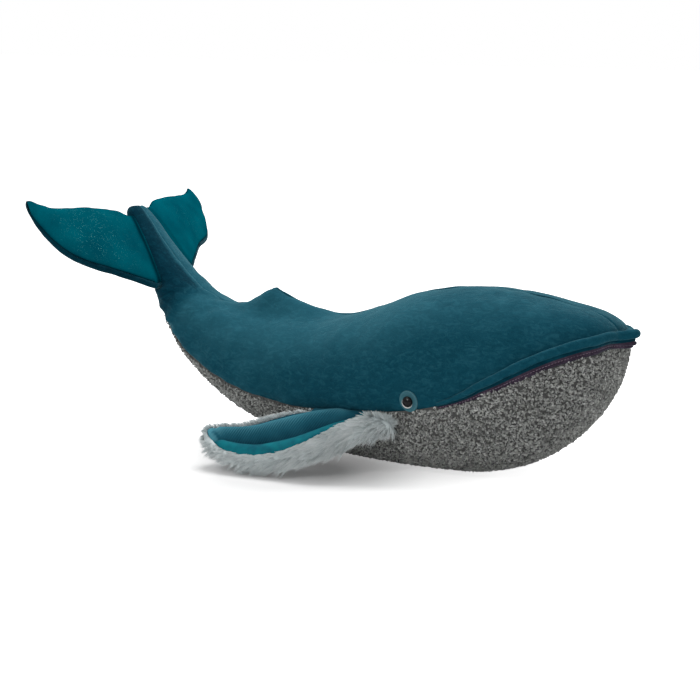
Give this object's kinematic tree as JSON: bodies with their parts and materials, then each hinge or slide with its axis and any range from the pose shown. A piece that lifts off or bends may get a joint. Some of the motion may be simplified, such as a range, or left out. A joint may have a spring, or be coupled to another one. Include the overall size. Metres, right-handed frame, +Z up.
{
  "type": "plush whale",
  "caption": "Soft stuffed whale with velvet back, curly grey belly, fur-edged fins and glittery flukes, for play and display.",
  "frame": {"origin": "middle of the flattened patch under the throat on which the whale rests", "axes": "+X to the nose, +Y to the whale's left, +Z up"},
  "size_m": [0.6307, 0.3212, 0.2608],
  "materials": {
    "teal_velvet": "short-pile velvet",
    "grey_boucle": "curly marled plush",
    "plum_velvet": "short-pile velvet",
    "grey_fur": "long-pile fur",
    "ribbed_plush": "ribbed plush",
    "bright_teal": "smooth short pile",
    "glitter_fabric": "fabric with fine glitter",
    "pale_suede": "suede",
    "wadding": "loose fibre filling",
    "black_gloss": "glossy dome",
    "white_plastic": "smooth",
    "washer_plastic": "smooth"
  },
  "bodies": {
    "torso": {"belly_cover": "grey_boucle", "left_back_cover": "teal_velvet", "left_eye": "black_gloss", "left_eye_disc": "white_plastic", "left_eye_patch": "pale_suede", "left_eye_washer": "washer_plastic", "lower_lip_band": "plum_velvet", "lower_lip_roll": "plum_velvet", "right_back_cover": "teal_velvet", "right_eye": "black_gloss", "right_eye_disc": "white_plastic", "right_eye_patch": "pale_suede", "right_eye_washer": "washer_plastic", "torso_stuffing": "wadding", "upper_lip_roll": "teal_velvet"},
    "tail": {"left_tail_cover": "teal_velvet", "right_tail_cover": "teal_velvet", "tail_belly_cover": "grey_boucle", "tail_stuffing": "wadding"},
    "right_fin": {"right_fin_fur": "grey_fur", "right_fin_ribbed_cover": "ribbed_plush", "right_fin_strip_cover": "bright_teal", "right_fin_stuffing": "wadding"},
    "left_fin": {"left_fin_fur": "grey_fur", "left_fin_ribbed_cover": "ribbed_plush", "left_fin_strip_cover": "bright_teal", "left_fin_stuffing": "wadding"},
    "right_fluke": {"right_fluke_stuffing": "wadding", "right_fluke_top_cover": "glitter_fabric", "right_fluke_under_cover": "teal_velvet"},
    "left_fluke": {"left_fluke_stuffing": "wadding", "left_fluke_top_cover": "glitter_fabric", "left_fluke_under_cover": "teal_velvet"}
  },
  "joints": [
    {"name": "tail_bend", "type": "hinge", "parent": "torso", "child": "tail", "pos_m": [-0.25497, 0, 0.0937], "axis": [0, 1, 0], "range_deg": [-12, 12], "stiffness_Nm_per_rad": 2},
    {"name": "right_fin_flap", "type": "hinge", "parent": "torso", "child": "right_fin", "pos_m": [-0.06518, -0.09389, 0.05654], "axis": [-0.9953, 0.0964, 0], "range_deg": [-15, 50], "stiffness_Nm_per_rad": 0.2},
    {"name": "left_fin_flap", "type": "hinge", "parent": "torso", "child": "left_fin", "pos_m": [-0.06518, 0.09389, 0.05654], "axis": [0.9953, 0.0964, 0], "range_deg": [-15, 50], "stiffness_Nm_per_rad": 0.2},
    {"name": "right_fluke_flap", "type": "hinge", "parent": "tail", "child": "right_fluke", "pos_m": [-0.36401, -0.03201, 0.19788], "axis": [-0.5629, 0.1956, 0.8031], "range_deg": [-35, 35], "stiffness_Nm_per_rad": 0.1},
    {"name": "left_fluke_flap", "type": "hinge", "parent": "tail", "child": "left_fluke", "pos_m": [-0.36401, 0.03201, 0.19788], "axis": [0.5629, 0.1956, -0.8031], "range_deg": [-35, 35], "stiffness_Nm_per_rad": 0.1}
  ]
}
